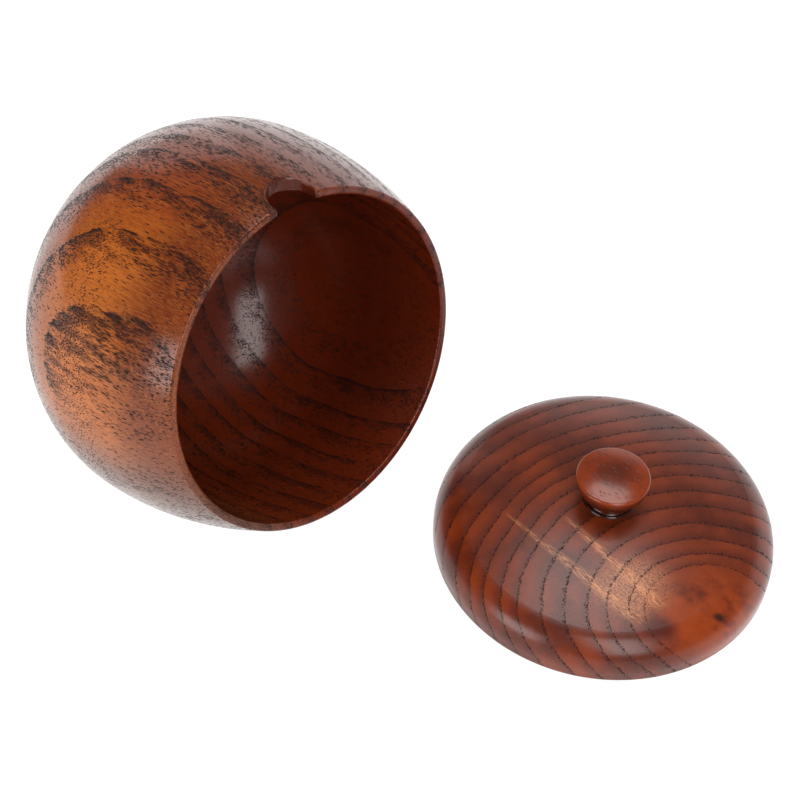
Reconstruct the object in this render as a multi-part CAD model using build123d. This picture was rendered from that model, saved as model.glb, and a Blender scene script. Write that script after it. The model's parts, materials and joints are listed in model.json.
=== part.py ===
from build123d import *
from math import acos, cos, degrees, hypot, radians, sin
import os

# A turned wooden shaving mug: a round bowl, and a domed lid with a glued-in knob.
# The bowl lies on its side with its mouth towards +X, and the lid lies flat beside the mouth.
# Sizes are in millimetres. The table is the plane z = 0, and the origin is under the middle.

# Bowl, measured as it stands on its foot: its axis is Z and its foot is at zero.
bowl_height = 69.1
belly_radius = 48.5
belly_height = 34.7
foot_radius = 19.3
mouth_radius = 41.8
rim_width = 1.9
rim_round = 0.55
hollow_radius = 42.4       # widest part of the hollow
hollow_height = 39.0
floor_thickness = 7.0
floor_radius = 8.0         # flat middle of the floor

# Rest for a brush's handle: a round cut in the rim, at the top as the bowl lies.
notch_radius = 5.7
notch_depth = 7.2          # from the rim to the bottom of the cut
notch_turn = 6.6           # degrees from the very top, towards +Y
notch_round = 0.4

# Lid, measured as it lies: its axis is Z and its spigot stands on zero.
lid_radius = 42.4
spigot_height = 3.05
spigot_gap = 0.5           # between the spigot and the bowl's mouth
spigot_round = 0.6
band_height = 6.3          # height where the shoulder begins
band_round = 0.9
shoulder_radius = 8.6
dome_radius = 133.0
dish_radius = 33.0         # shallow hollow inside the spigot
dish_depth = 5.0

# Knob, whose tenon is glued into a blind hole in the top of the lid.
# Its heights are counted from the flat seat around that hole.
tenon_radius = 4.0
tenon_length = 8.0
hole_spare = 1.0           # room for glue under the tenon
knob_height = 9.9
knob_radius = 9.1
knob_edge_height = 8.6
knob_edge_round = 0.6
knob_cup_depth = 8.9       # depth of the ellipse that the underside follows
knob_waist_radius = 5.6
knob_cove = 0.35           # how far the neck hollows in below the waist
seat_radius = 6.0

# How the two lie on the table.
bowl_tilt = 17.17          # degrees that the bowl's axis rises towards its mouth
lid_ahead = 121.2          # middle of the lid, from the middle of the foot, along X
lid_aside = 46.85          # and along Y


def bowl_reach(along, outward):
    """How far the bowl's back reaches from the middle of the foot, in a direction that
    has these parts along the axis, away from the mouth, and square to the axis."""
    across = (belly_radius - foot_radius) * outward
    back = belly_height * along
    return foot_radius * outward - back + hypot(across, back)


tilt = radians(bowl_tilt)
foot_z = bowl_reach(sin(tilt), cos(tilt))
back_overhang = bowl_reach(cos(tilt), sin(tilt))
foot_x = (back_overhang - lid_ahead - lid_radius) / 2
foot_y = (belly_radius - lid_aside - lid_radius) / 2
lid_x = foot_x + lid_ahead
lid_y = foot_y + lid_aside

# The dome is one arc. The shoulder's arc runs into it without a corner.
shoulder_sine = (lid_radius - shoulder_radius) / (dome_radius - shoulder_radius)
shoulder_cosine = (1 - shoulder_sine**2) ** 0.5
dome_edge_radius = dome_radius * shoulder_sine
dome_edge_z = band_height + shoulder_radius * shoulder_cosine
dome_center_z = dome_edge_z - dome_radius * shoulder_cosine
dome_top_z = dome_center_z + dome_radius
seat_z = dome_center_z + (dome_radius**2 - seat_radius**2) ** 0.5


def turned(build_outline):
    """A solid turned from an outline in the XZ plane, which build_outline draws."""
    with BuildPart() as part:
        with BuildSketch(Plane.XZ):
            with BuildLine():
                build_outline()
            make_face()
        revolve(axis=Axis.Z)
    return part.part


def rounded(shape, radius, height, round_radius):
    """The shape with its circular edge at this radius and height rounded."""
    ring = shape.edges().filter_by(
        lambda e: e.geom_type == GeomType.CIRCLE
        and abs(e.radius - radius) < 0.01
        and abs(e.center().Z - height) < 0.01
    )
    return fillet(ring, round_radius)


def bowl_outline():
    mouth_inner = mouth_radius - rim_width
    Line((0, 0), (foot_radius, 0))
    EllipticalCenterArc(
        (foot_radius, belly_height), belly_radius - foot_radius, belly_height, 270, arc_size=90
    )
    TangentArc((belly_radius, belly_height), (mouth_radius, bowl_height), tangent=(0, 1))
    Line((mouth_radius, bowl_height), (mouth_inner, bowl_height))
    TangentArc((hollow_radius, hollow_height), (mouth_inner, bowl_height), tangent=(0, 1))
    EllipticalCenterArc(
        (floor_radius, hollow_height),
        hollow_radius - floor_radius,
        hollow_height - floor_thickness,
        270,
        arc_size=90,
    )
    Line((floor_radius, floor_thickness), (0, floor_thickness))
    Line((0, floor_thickness), (0, 0))


def cut_edges(bowl, cut_plane):
    """The edges that the notch's cut left, which all lie one notch_radius from its axis."""

    def on_cut(edge):
        points = [cut_plane.to_local_coords(edge @ share) for share in (0, 0.5, 1)]
        return all(abs(hypot(p.X, p.Y) - notch_radius) < 0.02 and p.Z > 0 for p in points)

    return bowl.edges().filter_by(on_cut)


def make_bowl():
    bowl = turned(bowl_outline)
    bowl = rounded(bowl, mouth_radius, bowl_height, rim_round)
    bowl = rounded(bowl, mouth_radius - rim_width, bowl_height, rim_round)
    # The cut runs outward from the axis. Local -X ends up on top when the bowl lies down.
    notch_turned = radians(notch_turn)
    cut_plane = Plane(
        origin=(0, 0, bowl_height - notch_depth + notch_radius),
        x_dir=(0, 0, 1),
        z_dir=(-cos(notch_turned), sin(notch_turned), 0),
    )
    cutter = extrude(cut_plane * Circle(notch_radius), belly_radius)
    bowl = bowl - cutter
    bowl = fillet(cut_edges(bowl, cut_plane), notch_round)
    lying = Pos(foot_x, foot_y, foot_z) * Rot(0, 90 - bowl_tilt, 0)
    return lying * bowl


def lid_outline():
    spigot_radius = mouth_radius - rim_width - spigot_gap
    hole_z = seat_z - tenon_length - hole_spare
    Line((0, dish_depth), (0, hole_z))
    Line((0, hole_z), (tenon_radius, hole_z))
    Line((tenon_radius, hole_z), (tenon_radius, seat_z))
    Line((tenon_radius, seat_z), (seat_radius, seat_z))
    RadiusArc((seat_radius, seat_z), (dome_edge_radius, dome_edge_z), dome_radius)
    RadiusArc((dome_edge_radius, dome_edge_z), (lid_radius, band_height), shoulder_radius)
    Line((lid_radius, band_height), (lid_radius, spigot_height))
    Line((lid_radius, spigot_height), (spigot_radius, spigot_height))
    Line((spigot_radius, spigot_height), (spigot_radius, 0))
    Line((spigot_radius, 0), (dish_radius, 0))
    TangentArc((0, dish_depth), (dish_radius, 0), tangent=(1, 0))


def make_lid():
    lid = turned(lid_outline)
    lid = rounded(lid, lid_radius, spigot_height, band_round)
    lid = rounded(lid, mouth_radius - rim_width - spigot_gap, 0, spigot_round)
    return Pos(lid_x, lid_y, 0) * lid


def knob_outline():
    waist_turn = degrees(acos(knob_waist_radius / knob_radius))
    waist_z = knob_edge_height - knob_cup_depth * sin(radians(waist_turn))
    Line((0, knob_height), (0, -tenon_length))
    Line((0, -tenon_length), (tenon_radius, -tenon_length))
    Line((tenon_radius, -tenon_length), (tenon_radius, 0))
    Line((tenon_radius, 0), (seat_radius, 0))
    ThreePointArc((seat_radius, 0), (knob_waist_radius - knob_cove, waist_z / 2), (knob_waist_radius, waist_z))
    EllipticalCenterArc(
        (0, knob_edge_height), knob_radius, knob_cup_depth, -waist_turn, arc_size=waist_turn
    )
    TangentArc((0, knob_height), (knob_radius, knob_edge_height), tangent=(1, 0))


def make_knob():
    knob = turned(knob_outline)
    knob = rounded(knob, knob_radius, knob_edge_height, knob_edge_round)
    return Pos(lid_x, lid_y, seat_z) * knob


os.makedirs("parts", exist_ok=True)
for node, make in {"bowl": make_bowl, "lid": make_lid, "knob": make_knob}.items():
    export_step(make(), f"parts/{node}.step")
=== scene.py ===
import json
from math import cos, pi, radians, sin

import bmesh
import bpy
from mathutils import Matrix, Vector


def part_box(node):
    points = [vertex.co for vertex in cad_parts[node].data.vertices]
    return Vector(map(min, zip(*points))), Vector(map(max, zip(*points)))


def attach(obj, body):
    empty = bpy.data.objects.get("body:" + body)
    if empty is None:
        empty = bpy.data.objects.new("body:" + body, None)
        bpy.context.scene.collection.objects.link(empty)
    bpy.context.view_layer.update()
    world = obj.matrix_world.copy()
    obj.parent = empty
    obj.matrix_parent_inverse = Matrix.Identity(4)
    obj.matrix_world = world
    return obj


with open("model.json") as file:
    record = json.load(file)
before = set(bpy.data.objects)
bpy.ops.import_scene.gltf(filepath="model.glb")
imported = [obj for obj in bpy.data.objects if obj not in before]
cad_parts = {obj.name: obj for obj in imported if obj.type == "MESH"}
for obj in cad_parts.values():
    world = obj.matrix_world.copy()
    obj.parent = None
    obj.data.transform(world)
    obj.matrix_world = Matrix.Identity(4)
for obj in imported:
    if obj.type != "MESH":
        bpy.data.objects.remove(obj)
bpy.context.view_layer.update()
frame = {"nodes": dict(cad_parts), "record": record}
mounts = {mount["name"]: mount for mount in frame["record"]["mounts"]}
footMiddle = Vector(mounts["foot"]["pos_m"])
bowlAxis = -Vector(mounts["foot"]["axis"]).normalized()   # from the foot towards the mouth
bowlSide = Vector((0, 1, 0))
bowlUnder = bowlSide.cross(bowlAxis)                      # square to the axis, pointing down
lidLow, lidHigh = (Vector(corner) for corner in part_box("lid"))
lidMiddle = Vector(((lidLow.x + lidHigh.x) / 2, (lidLow.y + lidHigh.y) / 2, lidLow.z))
knobTop = Vector(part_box("knob")[1]).z * 1000              # in millimetres, as all heights in the shaders
print("frame loaded")

# camera

view = {
    "pitch": 48.31, "turn": 42.61, "roll": 3.66, "distance": 0.5163, "lens": 86.81, "sensor": 36.0,
    "aim": (-0.02642, 0.02397, 0.0),
}


def makeCamera():
    data = bpy.data.cameras.new("camera")
    data.lens = view["lens"]
    data.sensor_width = view["sensor"]
    data.clip_start = 0.01
    camera = bpy.data.objects.new("camera", data)
    bpy.context.collection.objects.link(camera)
    turn = Matrix.Rotation(radians(view["turn"]), 4, "Z")
    tip = Matrix.Rotation(radians(90 - view["pitch"]), 4, "X")
    roll = Matrix.Rotation(radians(view["roll"]), 4, "Z")
    back = Matrix.Translation((0, 0, view["distance"]))
    camera.matrix_world = Matrix.Translation(view["aim"]) @ turn @ tip @ back @ roll
    bpy.context.scene.camera = camera


# shader sums

class Value:
    def __init__(self, shader, socket):
        self.shader = shader
        self.socket = socket

    def __add__(self, other):
        return self.shader.sum("ADD", self, other)

    __radd__ = __add__

    def __sub__(self, other):
        return self.shader.sum("SUBTRACT", self, other)

    def __rsub__(self, other):
        return self.shader.sum("SUBTRACT", other, self)

    def __mul__(self, other):
        return self.shader.sum("MULTIPLY", self, other)

    __rmul__ = __mul__

    def __truediv__(self, other):
        return self.shader.sum("DIVIDE", self, other)

    def __pow__(self, other):
        return self.shader.sum("POWER", self, other)


class Shader:
    def __init__(self, owner, surface="Principled BSDF", place="Object"):
        owner.use_nodes = True
        self.owner = owner                   # a material or a world
        self.nodes = owner.node_tree.nodes
        self.links = owner.node_tree.links
        self.surface = self.nodes[surface]
        self.place = self.node("ShaderNodeTexCoord", {}, {}, place)

    def node(self, kind, settings, sockets, output=0):
        made = self.nodes.new(kind)
        for name, value in settings.items():
            if name == "stops":
                self.setStops(made.color_ramp, value)
            else:
                setattr(made, name, value)
        for name, value in sockets.items():
            self.put(made.inputs[name], value)
        return Value(self, made.outputs[output])

    def setStops(self, ramp, stops):
        while len(ramp.elements) < len(stops):
            ramp.elements.new(0.5)
        for element, (place, shade) in zip(ramp.elements, stops):
            element.position = place
            element.color = shade

    def put(self, socket, value):
        if isinstance(value, Value):
            self.links.new(value.socket, socket)
        else:
            socket.default_value = value

    def finish(self, sockets):
        for name, value in sockets.items():
            self.put(self.surface.inputs[name], value)
        return self.owner

    def sum(self, operation, first, second=0.0):
        return self.node("ShaderNodeMath", {"operation": operation}, {0: first, 1: second})

    def larger(self, first, second):
        return self.sum("MAXIMUM", first, second)

    def length(self, first, second):
        return (first * first + second * second) ** 0.5

    def along(self, direction, start):
        # distance from the start in that direction, in millimetres
        moved = self.node("ShaderNodeVectorMath", {"operation": "SUBTRACT"}, {0: self.place, 1: start})
        sockets = {0: moved, 1: direction * 1000}
        return self.node("ShaderNodeVectorMath", {"operation": "DOT_PRODUCT"}, sockets, "Value")

    def vector(self, x, y, z):
        return self.node("ShaderNodeCombineXYZ", {}, {"X": x, "Y": y, "Z": z})

    def noise(self, place, scale, detail=2.0, roughness=0.5):
        sockets = {"Vector": place, "Scale": scale, "Detail": detail, "Roughness": roughness}
        return self.node("ShaderNodeTexNoise", {}, sockets)

    def pores(self, place, reach, share):
        # short dark vessels: one to a cell, there in this share of the cells
        distance = self.node("ShaderNodeTexVoronoi", {}, {"Vector": place, "Scale": 1.0})
        tint = Value(self, distance.socket.node.outputs["Color"])
        chance = self.node("ShaderNodeSeparateColor", {}, {0: tint})
        there = self.sum("GREATER_THAN", share, chance)
        return (1 - self.step(distance, reach - 0.14, reach + 0.06)) * there

    def step(self, value, low, high, start=0.0, end=1.0):
        settings = {"interpolation_type": "SMOOTHSTEP"}
        sockets = {"Value": value, "From Min": low, "From Max": high, "To Min": start, "To Max": end}
        return self.node("ShaderNodeMapRange", settings, sockets)

    def window(self, value, ends):
        # rises over the first two ends and falls over the last two
        rise, risen, fall, fallen = ends
        return self.step(value, rise, risen) * (1 - self.step(value, fall, fallen))

    def hump(self, value, middle, halfWidth):
        away = self.sum("ABSOLUTE", value - middle)
        return 1 - self.step(away / halfWidth, 0.0, 1.0)

    def between(self, share, first, second):
        return first + (second - first) * share

    def blend(self, share, first, second):
        settings = {"data_type": "RGBA", "clamp_factor": True}
        return self.node("ShaderNodeMix", settings, {0: share, 6: first, 7: second}, 2)

    def ramp(self, value, stops):
        return self.node("ShaderNodeValToRGB", {"stops": stops}, {0: value})

    def bump(self, strength, depth, height):
        return self.node("ShaderNodeBump", {}, {"Strength": strength, "Distance": depth, "Height": height})


def color(red, green, blue):
    return (red, green, blue, 1.0)


def gray(shade):
    return (shade, shade, shade, 1.0)


def addPiece(name, shape):
    mesh = bpy.data.meshes.new(name)
    shape.to_mesh(mesh)
    shape.free()
    piece = bpy.data.objects.new(name, mesh)
    bpy.context.collection.objects.link(piece)
    return piece


# what both large pieces share: growth rings, and a lacquer that the open pores break

lacquer = {
    "index": 1.5, "underShine": 0.10, "poreRough": 0.3,
    "bump": 0.35, "bumpDepth": 0.00012, "fibreRelief": 0.06,
}


def findRings(shader, radius, rings):
    # share of the way out, and how far from one ring to the next
    low, reach = rings[0], rings[-1] - rings[0]
    count = len(rings) - 1
    stops = [((ring - low) / reach, gray(i / count)) for i, ring in enumerate(rings)]
    share = (radius - low) / reach
    return share, shader.sum("FRACT", shader.ramp(share, stops) * count)


def addLacquer(shader, wood, base, pore, relief):
    rough, coat, coatLost, coatRough = wood["lacquer"]
    return shader.finish({
        "Base Color": base, "Roughness": rough + pore * lacquer["poreRough"], "IOR": lacquer["index"],
        "Normal": shader.bump(lacquer["bump"], lacquer["bumpDepth"], relief),
        "Specular IOR Level": lacquer["underShine"], "Coat Weight": coat - pore * coatLost,
        "Coat Roughness": coatRough, "Coat IOR": lacquer["index"],
    })


# wood of the bowl: growth rings stand round a pith beside it, nearly along its axis
# all lengths in the woods are in millimetres

bowlWood = {
    "grain": (0.1416, 0.0668, 0.9877),       # as parts of bowlUnder, bowlSide and bowlAxis
    "outward": (-0.3856, -0.9152, 0.1171),
    "pith": (-74.4, -5.0), "pithHeight": 36.0,
    "rings": [
        16.0, 23.0, 30.0, 36.8, 44.5, 52.0, 57.7, 64.0, 69.5, 75.3, 81.0, 86.7, 92.5, 98.2, 103.2, 109.4,
        116.0, 121.6, 129.0,
    ],
    "tones": [                               # by distance from the pith
        (30.0, color(0.120, 0.014, 0.003)), (60.0, color(0.160, 0.018, 0.003)),
        (85.0, color(0.170, 0.024, 0.005)), (104.0, color(0.260, 0.038, 0.008)),
        (111.0, color(0.340, 0.055, 0.008)), (116.0, color(0.500, 0.110, 0.009)),
        (123.0, color(0.620, 0.165, 0.026)),
    ],
    "dark": color(0.020, 0.008, 0.006), "deep": color(0.075, 0.009, 0.003),
    "pale": color(0.72, 0.26, 0.045), "low": color(0.125, 0.036, 0.013), "red": color(0.195, 0.034, 0.007),
    "waves": (1.4, 0.8),                     # how far the rings wander, broadly and raggedly
    "lean": (50.0, 0.11),                    # height from which the rings lean in, and how steeply
    "sag": (27.0, 14.0, 1.1),                # height, half width and depth of a dip in the outer rings
    "sagSide": (-36.0, -26.0), "sagEnd": (118.5, 121.0),
    "outer": (88.0, 100.0),                  # distance from the pith at which the outer face starts
    "nearFade": (4.0, 13.0), "nearSlant": (40.0, 0.5), "innerFade": (37.0, 43.0),
    "lowSide": (12.0, 31.0),                 # where the underside turns brown
    "early": (0.04, 0.80), "late": (0.45, 1.0), "line": (0.0, 0.01, 0.02, 0.10),   # parts of a ring
    "dashes": (3.9, 0.60, 0.60),             # cells per millimetre across and along the grain, and fill
    "dots": (2.7, 1.5, 0.55),
    "fine": (5.0, 1.3, 0.55),
    "belt": (33.0, 37.0, 43.0, 49.0), "beltStart": (113.0, 116.5),
    "upper": (92.0, 100.0, 107.0, 113.0), "clump": (0.36, 0.60),
    "poreShare": {"plain": 0.06, "early": 0.22, "clump": 0.70, "upper": 0.18, "low": 0.22, "dots": 0.16},
    "fineShare": (0.11, 0.45, 0.5),          # plain, in early wood, and how dark
    "fibre": (3.6, 0.16), "cloud": 0.06,
    "redAbove": (46.0, 62.0, 0.95), "redBelow": (14.0, 34.0, 0.70),
    "strength": {
        "cloudTone": 0.09, "cloudRed": 0.5, "pale": 1.1, "low": 0.85, "deep": 1.7, "late": 0.18,
        "pore": 0.90, "stainAndShade": 0.8, "earlyRelief": 0.25,
    },
    "notch": (67.6, 6.6, 5.75, 6.15),        # height, turn, and where the painted shade on its cut face starts and ends
    "lacquer": (0.20, 0.70, 0.68, 0.20),     # roughness, coat, coat lost in the pores, roughness of the coat
}


def makeBowlWood():
    wood = bowlWood
    shader = Shader(bpy.data.materials.new("bowl_wood"))

    def toRow(parts):
        return bowlUnder * parts[0] + bowlSide * parts[1] + bowlAxis * parts[2]

    grain = toRow(wood["grain"]).normalized()
    outward = toRow(wood["outward"])
    outward = (outward - grain * outward.dot(grain)).normalized()
    start = footMiddle + bowlAxis * wood["pithHeight"] / 1000
    u, v, w = (shader.along(direction, start) for direction in (outward, grain.cross(outward), grain))
    height = shader.along(bowlAxis, footMiddle)

    # the rings
    broad = shader.noise(shader.vector(u, v, w * 0.5), 0.05, 1.0) - 0.5
    ragged = shader.noise(shader.vector(u * 2.0, v * 2.0, w * 0.35), 0.7, 2.0) - 0.5
    plain = shader.length(u - wood["pith"][0], v - wood["pith"][1])
    outside = shader.step(plain, *wood["outer"])
    leanStart, leanSlope = wood["lean"]
    lean = shader.larger(height - leanStart, 0.0) * leanSlope
    sagMiddle, sagHalf, sagDepth = wood["sag"]
    sag = shader.hump(height, sagMiddle, sagHalf) * shader.step(v, *wood["sagSide"])
    sag = sag * (1 - shader.step(plain, *wood["sagEnd"]))
    radius = plain + lean - sag * sagDepth + broad * wood["waves"][0] + ragged * wood["waves"][1]
    share, phase = findRings(shader, radius, wood["rings"])

    # the lines fade out low on the near side, sooner towards the mouth
    slantFrom, slant = wood["nearSlant"]
    near = 1 - shader.step(v + (height - slantFrom) * slant, *wood["nearFade"])
    near = shader.larger(near, 1 - outside) * shader.step(plain, *wood["innerFade"])
    lowSide = shader.step(v, *wood["lowSide"]) * outside
    early = (1 - shader.step(phase, *wood["early"])) * (0.25 + near * 0.75)
    line = shader.window(phase, wood["line"]) * near
    late = shader.step(phase, *wood["late"]) * near

    # pores: long dashes, rounder dots in a belt round the near side, and fine ones everywhere
    clump = shader.noise(shader.vector(u * 1.8, v * 1.8, w * 0.5), 0.25, 2.0)
    clump = shader.step(clump, *wood["clump"])
    many = wood["poreShare"]
    busy = many["plain"] + early * (many["early"] + many["clump"] * clump)
    busy = busy + shader.window(plain, wood["upper"]) * many["upper"] + lowSide * clump * many["low"]
    belt = shader.window(height, wood["belt"]) * shader.step(plain, *wood["beltStart"])
    across, along, fill = wood["dashes"]
    dashes = shader.pores(shader.vector(u * across, v * across, w * along), fill, busy)
    across, along, fill = wood["dots"]
    dots = shader.pores(shader.vector(u * across + w, v * across + w, w * along), fill, busy + many["dots"])
    across, along, fill = wood["fine"]
    plainShare, earlyShare, fineDark = wood["fineShare"]
    finePores = plainShare + early * earlyShare
    fine = shader.pores(shader.vector(u * across, v * across, w * along), fill, finePores) * fineDark
    pore = shader.larger(shader.between(belt, dashes, dots), fine)

    # colours, from the broad tones to the pores
    across, along = wood["fibre"]
    fibre = shader.noise(shader.vector(u * across, v * across, w * along), 1.0, 3.0, 0.6)
    cloud = shader.noise(shader.vector(u, v, w * 0.6), wood["cloud"], 3.0, 0.55)
    strength = wood["strength"]
    low, reach = wood["rings"][0], wood["rings"][-1] - wood["rings"][0]
    toneStops = [((distance - low) / reach, tone) for distance, tone in wood["tones"]]
    base = shader.ramp(share + (cloud - 0.5) * strength["cloudTone"], toneStops)
    start, end, most = wood["redAbove"]
    redAbove = shader.step(height, start, end) * most
    start, end, most = wood["redBelow"]
    redBelow = (1 - shader.step(height, start, end)) * most
    redder = shader.larger(redAbove, redBelow)
    base = shader.blend((redder + (cloud - 0.5) * strength["cloudRed"]) * outside, base, wood["red"])
    base = shader.blend((fibre - 0.46) * strength["pale"] * outside, base, wood["pale"])
    base = shader.blend(lowSide * strength["low"], base, wood["low"])
    base = shader.blend((0.50 - fibre) * strength["deep"], base, wood["deep"])
    base = shader.blend(late * strength["late"], base, wood["deep"])
    base = shader.blend(early * clump * (0.22 + outside * 0.36), base, wood["deep"])
    base = shader.blend(line * (0.30 + 0.60 * clump), base, wood["dark"])
    base = shader.blend(pore * strength["pore"], base, wood["dark"])

    # painted shade: the cut face of the notch is darkened, as it lies in shade
    notchHeight, notchTurn, shadeStart, shadeEnd = wood["notch"]
    notchTurn = radians(notchTurn)
    notchSide = shader.along(bowlSide * cos(notchTurn) + bowlUnder * sin(notchTurn), footMiddle)
    notchRise = shader.sum("MINIMUM", height - notchHeight, 0.0)
    stainAndShade = 1 - shader.step(shader.length(notchSide, notchRise), shadeStart, shadeEnd)
    stainAndShade = stainAndShade * shader.step(shader.along(bowlUnder, footMiddle), -20.0, -30.0)
    base = shader.blend(stainAndShade * strength["stainAndShade"], base, wood["deep"])
    relief = fibre * lacquer["fibreRelief"] - pore - early * strength["earlyRelief"]
    return addLacquer(shader, wood, base, pore, relief)


# wood of the lid: the rings stand round a small knot near its edge

lidWood = {
    "grain": (-0.2081, -0.5335, 0.8198), "pith": (38.0, -2.2, 10.0),
    "rings": [
        3.0, 7.1, 12.5, 15.5, 19.8, 23.9, 28.8, 33.5, 38.7, 42.6, 47.0, 51.1, 55.5, 60.5, 66.2, 71.0,
        76.0, 82.0,
    ],
    "light": color(0.230, 0.034, 0.007), "mid": color(0.100, 0.014, 0.005),
    "dark": color(0.020, 0.008, 0.006), "deep": color(0.060, 0.008, 0.004),
    "orange": color(0.420, 0.060, 0.005), "tan": color(0.85, 0.33, 0.12),
    "red": color(0.085, 0.008, 0.003),
    "waves": (2.2, 0.9),                     # how far the rings wander, broadly and raggedly
    "knot": (6.0, 17.0), "ringless": (8.0, 13.0),
    "early": (0.03, 0.20), "band": (0.0, 0.03, 0.10, 0.70),   # parts of a ring
    "dots": (2.6, 1.4, 0.56),                # cells per millimetre across and along the grain, and fill
    "fine": (4.4, 1.2, 0.45),
    "dotShare": 0.82, "fineShare": (0.10, 0.30),
    "fibre": (3.0, 0.4), "cloud": 0.07, "swirl": 12.0, "curl": (0.17, 0.42, 0.74),
    "flaws": {                               # middle and half width across the grain
        "tanPatch": (-6.0, 15.0, 11.0), "redPatch": (-10.3, 3.4, 4.6), "eye": (0.4, -1.6, 1.5),
    },
    "streaks": (-11.6, -1.6),                # where each torn streak points, across the grain
    "streakEnds": (5.0, 10.0, 46.0, 50.0), "upperEnd": (34.0, 40.0), "faint": (14.0, 46.0, 0.55),
    "torn": (0.38, 0.66),
    "strength": {
        "orange": 0.8, "deep": 1.2, "curl": 0.85, "worn": 0.60, "streaks": 0.85, "flaw": 0.9,
        "early": 0.20, "pore": 0.80, "streakRelief": 0.5,
    },
    "lacquer": (0.29, 0.80, 0.76, 0.28),     # roughness, coat, coat lost in the pores, roughness of the coat
}


def makeLidWood():
    wood = lidWood
    shader = Shader(bpy.data.materials.new("lid_wood"))
    grain = Vector(wood["grain"]).normalized()
    first = grain.cross(Vector((1, 0, 0))).normalized()
    start = lidMiddle + Vector(wood["pith"]) / 1000
    u, v, w = (shader.along(direction, start) for direction in (first, grain.cross(first), grain))

    # the rings, plain inside the knot
    broad = shader.noise(shader.vector(u, v, w * 0.4), 0.06, 1.0) - 0.5
    ragged = shader.noise(shader.vector(u, v, w * 0.4), 0.8, 2.0) - 0.5
    radius = shader.length(u, v) + broad * wood["waves"][0] + ragged * wood["waves"][1]
    phase = findRings(shader, radius, wood["rings"])[1]
    ringed = shader.step(radius, *wood["ringless"])
    early = (1 - shader.step(phase, *wood["early"])) * ringed
    band = shader.window(phase, wood["band"]) * ringed
    across, along, fill = wood["dots"]
    dots = shader.pores(shader.vector(u * across, v * across, w * along), fill, early * wood["dotShare"])
    across, along, fill = wood["fine"]
    fineShare, fineDark = wood["fineShare"]
    fine = shader.pores(shader.vector(u * across, v * across, w * along), fill, fineShare) * fineDark
    pore = shader.larger(dots, fine)
    across, along = wood["fibre"]
    fibre = shader.noise(shader.vector(u * across, v * across, w * along), 1.0, 3.0, 0.6)
    cloud = shader.noise(shader.vector(u, v, w), wood["cloud"], 3.0, 0.55)
    strength = wood["strength"]

    def patch(flaw, rough):
        middle, aside, halfWidth = wood["flaws"][flaw]
        away = shader.length(u - middle, v - aside) + rough
        return 1 - shader.step(away / halfWidth, 0.15, 1.0)

    # pale torn streaks run across the rings, wider and clearer towards the knot
    torn = shader.noise(shader.vector(u * 3.0, v * 0.28, w * 1.6), 1.0, 3.0, 0.65)
    spread = shader.larger(50.0 - v, 0.0) * 0.055 + 0.5
    ends = shader.window(v, wood["streakEnds"])
    longStreak, shortStreak = wood["streaks"]
    streak = shader.hump((u - longStreak) / spread, 0.0, 1.0) * ends
    upper = shader.hump((u - shortStreak + spread * 1.5) / spread, 0.0, 0.8) * ends
    upper = upper * (1 - shader.step(v, *wood["upperEnd"]))
    fadeStart, fadeEnd, fade = wood["faint"]
    faint = 1 - shader.step(v, fadeStart, fadeEnd) * fade
    streaks = shader.larger(streak, upper) * shader.step(torn, *wood["torn"]) * faint
    swirl = (cloud - 0.5) * wood["swirl"]
    knot = 1 - shader.step(radius + swirl, *wood["knot"])
    curlScale, curlStart, curlEnd = wood["curl"]
    curl = shader.step(shader.noise(shader.vector(u, v, w * 0.5), curlScale, 4.0, 0.65), curlStart, curlEnd)

    # colours, from the broad tones to the pores
    base = shader.blend(shader.step(cloud, 0.35, 0.65), wood["mid"], wood["light"])
    base = shader.blend((fibre - 0.44) * strength["orange"], base, wood["orange"])
    base = shader.blend((0.48 - fibre) * strength["deep"], base, wood["deep"])
    base = shader.blend(band * (0.35 + 0.30 * cloud), base, wood["deep"])
    base = shader.blend(knot * (0.25 + cloud * 0.9), base, wood["orange"])
    base = shader.blend(knot * curl * strength["curl"], base, wood["red"])
    worn = patch("tanPatch", swirl * 0.5) * shader.step(fibre, 0.34, 0.62)
    base = shader.blend(worn * strength["worn"], base, wood["tan"])
    base = shader.blend(streaks * strength["streaks"], base, wood["tan"])
    base = shader.blend(patch("redPatch", swirl * 0.3) * strength["flaw"], base, wood["red"])
    base = shader.blend(patch("eye", swirl * 0.1) * strength["flaw"], base, wood["dark"])
    base = shader.blend(early * strength["early"] * (1 - knot * 0.6), base, wood["dark"])
    base = shader.blend(pore * strength["pore"] * (1 - knot * 0.5), base, wood["dark"])
    relief = fibre * lacquer["fibreRelief"] - pore - streaks * strength["streakRelief"]
    return addLacquer(shader, wood, base, pore, relief)


# knob: plain wood, stained darker in the middle of its top, with a bead of glue round its foot

knobWood = {
    "edge": color(0.300, 0.042, 0.007), "middle": color(0.130, 0.022, 0.009),
    "deep": color(0.050, 0.007, 0.003),
    "stainAndShade": (1.5, 8.5),                     # where it starts to fade and where it ends, from the middle
    "shadow": (4.0, 0.8, 0.88),              # depth below the top where full, where it starts, and how dark
    "roughness": 0.20, "poreRough": 0.2, "bump": 0.25, "bumpDepth": 0.0001,
}
glueBead = {
    "radius": 0.0061, "thickness": 0.0005, "sides": 16, "steps": 96,
    "dark": color(0.012, 0.004, 0.003), "light": color(0.060, 0.012, 0.006),
    "roughness": 0.08, "bump": 0.3, "bumpDepth": 0.0002,
}


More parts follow.
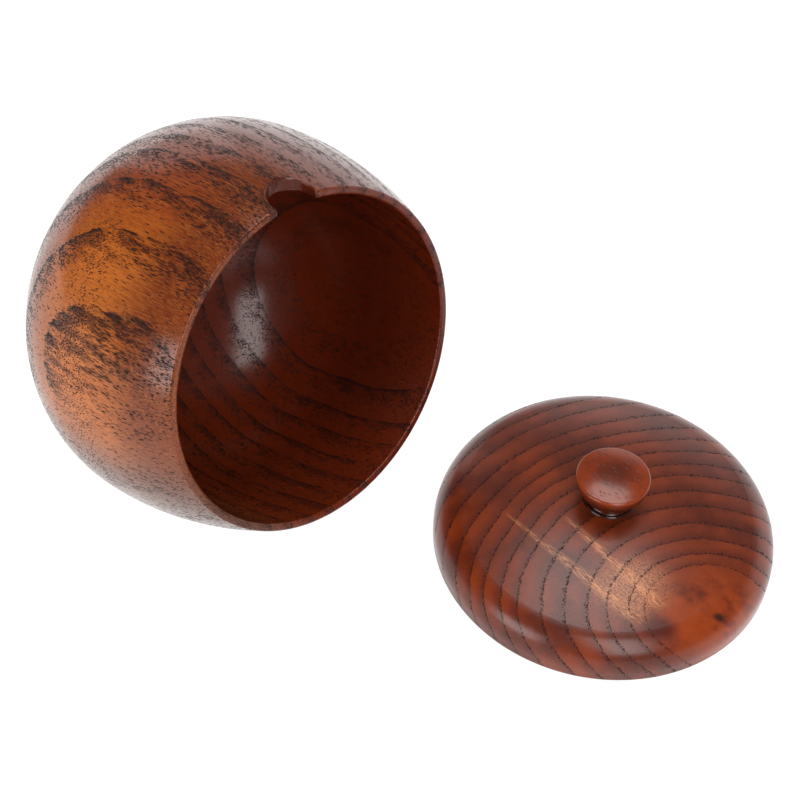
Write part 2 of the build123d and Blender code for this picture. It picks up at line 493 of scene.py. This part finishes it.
def makeKnobWood():
    wood = knobWood
    shader = Shader(bpy.data.materials.new("knob_wood"))
    directions = (Vector((1, 0, 0)), Vector((0, 1, 0)), Vector((0, 0, 1)))
    x, y, z = (shader.along(direction, lidMiddle) for direction in directions)
    cloud = shader.noise(shader.place, 230.0, 3.0, 0.55)
    fibre = shader.noise(shader.vector(x * 0.5, y * 3.0, z * 3.0), 1.0, 3.0, 0.6)
    away = shader.length(x, y) + (cloud - 0.5) * 9.0
    onTop = shader.step(z, knobTop - 4.0, knobTop - 1.0)
    stained = (1 - shader.step(away, *wood["stainAndShade"])) * onTop
    base = shader.blend(stained, wood["edge"], wood["middle"])
    base = shader.blend((0.52 - fibre) * 1.4, base, wood["deep"])
    full, start, most = wood["shadow"]
    under = 1 - shader.step(z, knobTop - full, knobTop - start)
    base = shader.blend(most * under, base, wood["deep"])
    pore = shader.pores(shader.vector(x * 0.9, y * 3.4, z * 3.4), 0.5, 0.12)
    base = shader.blend(pore * 0.6, base, wood["deep"])
    relief = fibre * lacquer["fibreRelief"] - pore
    return shader.finish({
        "Base Color": base, "Roughness": wood["roughness"] + pore * wood["poreRough"],
        "Normal": shader.bump(wood["bump"], wood["bumpDepth"], relief), "IOR": lacquer["index"],
    })


def makeGlueBead():
    shape = bmesh.new()
    seat = Vector((lidMiddle.x, lidMiddle.y, lidHigh.z))
    aside = Matrix.Translation(seat + Vector((glueBead["radius"], 0, 0))) @ Matrix.Rotation(pi / 2, 4, "X")
    section = bmesh.ops.create_circle(
        shape, segments=glueBead["sides"], radius=glueBead["thickness"], matrix=aside,
    )
    bmesh.ops.spin(
        shape, geom=section["verts"] + shape.edges[:], cent=seat, axis=(0, 0, 1), angle=2 * pi,
        steps=glueBead["steps"], use_merge=True,
    )
    bmesh.ops.remove_doubles(shape, verts=shape.verts[:], dist=0.00001)
    bmesh.ops.recalc_face_normals(shape, faces=shape.faces[:])
    for face in shape.faces:
        face.smooth = True
    bead = addPiece("glue_bead", shape)
    shader = Shader(bpy.data.materials.new("dried_glue"))
    ripple = shader.noise(shader.place, 500.0, 2.0)
    bead.data.materials.append(shader.finish({
        "Base Color": shader.blend(ripple, glueBead["dark"], glueBead["light"]),
        "Roughness": glueBead["roughness"], "IOR": lacquer["index"],
        "Normal": shader.bump(glueBead["bump"], glueBead["bumpDepth"], ripple),
    }))
    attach(bead, "lid")


def cover(node, material):
    materials = frame["nodes"][node].data.materials
    materials.clear()
    materials.append(material)


cover("bowl", makeBowlWood())
cover("lid", makeLidWood())
cover("knob", makeKnobWood())
makeGlueBead()
print("wood finished")

# floor, lights and camera

farSide = Vector((-sin(radians(view["turn"])), cos(radians(view["turn"])), 0.0))

studio = {
    "floorSize": 12.0, "floorGlow": 1.3, "floorNear": 0.55, "floorFar": 1.0, "floorReach": 0.45,
    "floorShade": 0.1, "sky": 0.15,
    "wall": 1.3, "wallTurn": 95.0, "wallSide": (0.60, 0.79), "wallTop": (0.52, 0.36),
    "lights": [                              # turn, rise, distance, width, height, power and aim
        ("overhead_softbox", 118.0, 78.5, 1.2, 0.62, 0.62, 4.9, (0, 0, 0)),
        ("left_softbox", -92.0, 16.0, 0.8, 0.40, 0.35, 2.2, (0, 0, 0)),
        ("right_softbox", -27.0, 41.0, 0.8, 0.30, 0.66, 2.9, (0, 0, 0)),
        ("back_softbox", 153.0, 12.0, 0.28, 0.16, 0.16, 0.08, (-0.06, -0.02, 0.09)),
    ],
}


def makeFloor():
    shape = bmesh.new()
    bmesh.ops.create_grid(shape, x_segments=1, y_segments=1, size=studio["floorSize"] / 2)
    floor = addPiece("floor", shape)
    shader = Shader(bpy.data.materials.new("pale_floor"))
    # a little brighter away from the camera
    toBack = shader.along(farSide, Vector((0, 0, 0))) / (studio["floorReach"] * 1000)
    glow = shader.step(toBack, -1.0, 1.0, studio["floorNear"], studio["floorFar"])
    floor.data.materials.append(shader.finish({
        "Base Color": gray(studio["floorShade"]), "Roughness": 1.0, "Emission Color": glow,
        "Emission Strength": studio["floorGlow"], "Specular IOR Level": 0.0,
    }))


def makeSky():
    # dim all round, but for a pale wall low down behind the objects
    world = bpy.data.worlds.new("studio")
    bpy.context.scene.world = world
    shader = Shader(world, "Background", "Generated")
    turn = radians(studio["wallTurn"])

    def mask(direction, ends):
        sockets = {0: shader.place, 1: direction}
        part = shader.node("ShaderNodeVectorMath", {"operation": "DOT_PRODUCT"}, sockets, "Value")
        sockets = {"Value": part, "From Min": ends[0], "From Max": ends[1]}
        return shader.node("ShaderNodeMapRange", {}, sockets)

    wall = mask((cos(turn), sin(turn), 0.0), studio["wallSide"]) * mask((0.0, 0.0, 1.0), studio["wallTop"])
    sockets = {"Value": wall, "To Min": studio["sky"], "To Max": studio["wall"]}
    shader.finish({"Color": gray(1.0), "Strength": shader.node("ShaderNodeMapRange", {}, sockets)})


def makeLight(name, turn, rise, distance, width, height, power, aim):
    data = bpy.data.lights.new(name, "AREA")
    data.shape = "RECTANGLE"
    data.size = width
    data.size_y = height
    data.energy = power
    light = bpy.data.objects.new(name, data)
    bpy.context.collection.objects.link(light)
    turn, rise = radians(turn), radians(rise)
    away = Vector((cos(rise) * cos(turn), cos(rise) * sin(turn), sin(rise)))
    facing = away.to_track_quat("Z", "Y").to_matrix().to_4x4()
    light.matrix_world = Matrix.Translation(Vector(aim) + away * distance) @ facing


makeFloor()
makeSky()
for light in studio["lights"]:
    makeLight(*light)
makeCamera()
bpy.context.scene.view_settings.view_transform = "Standard"
print("studio finished")
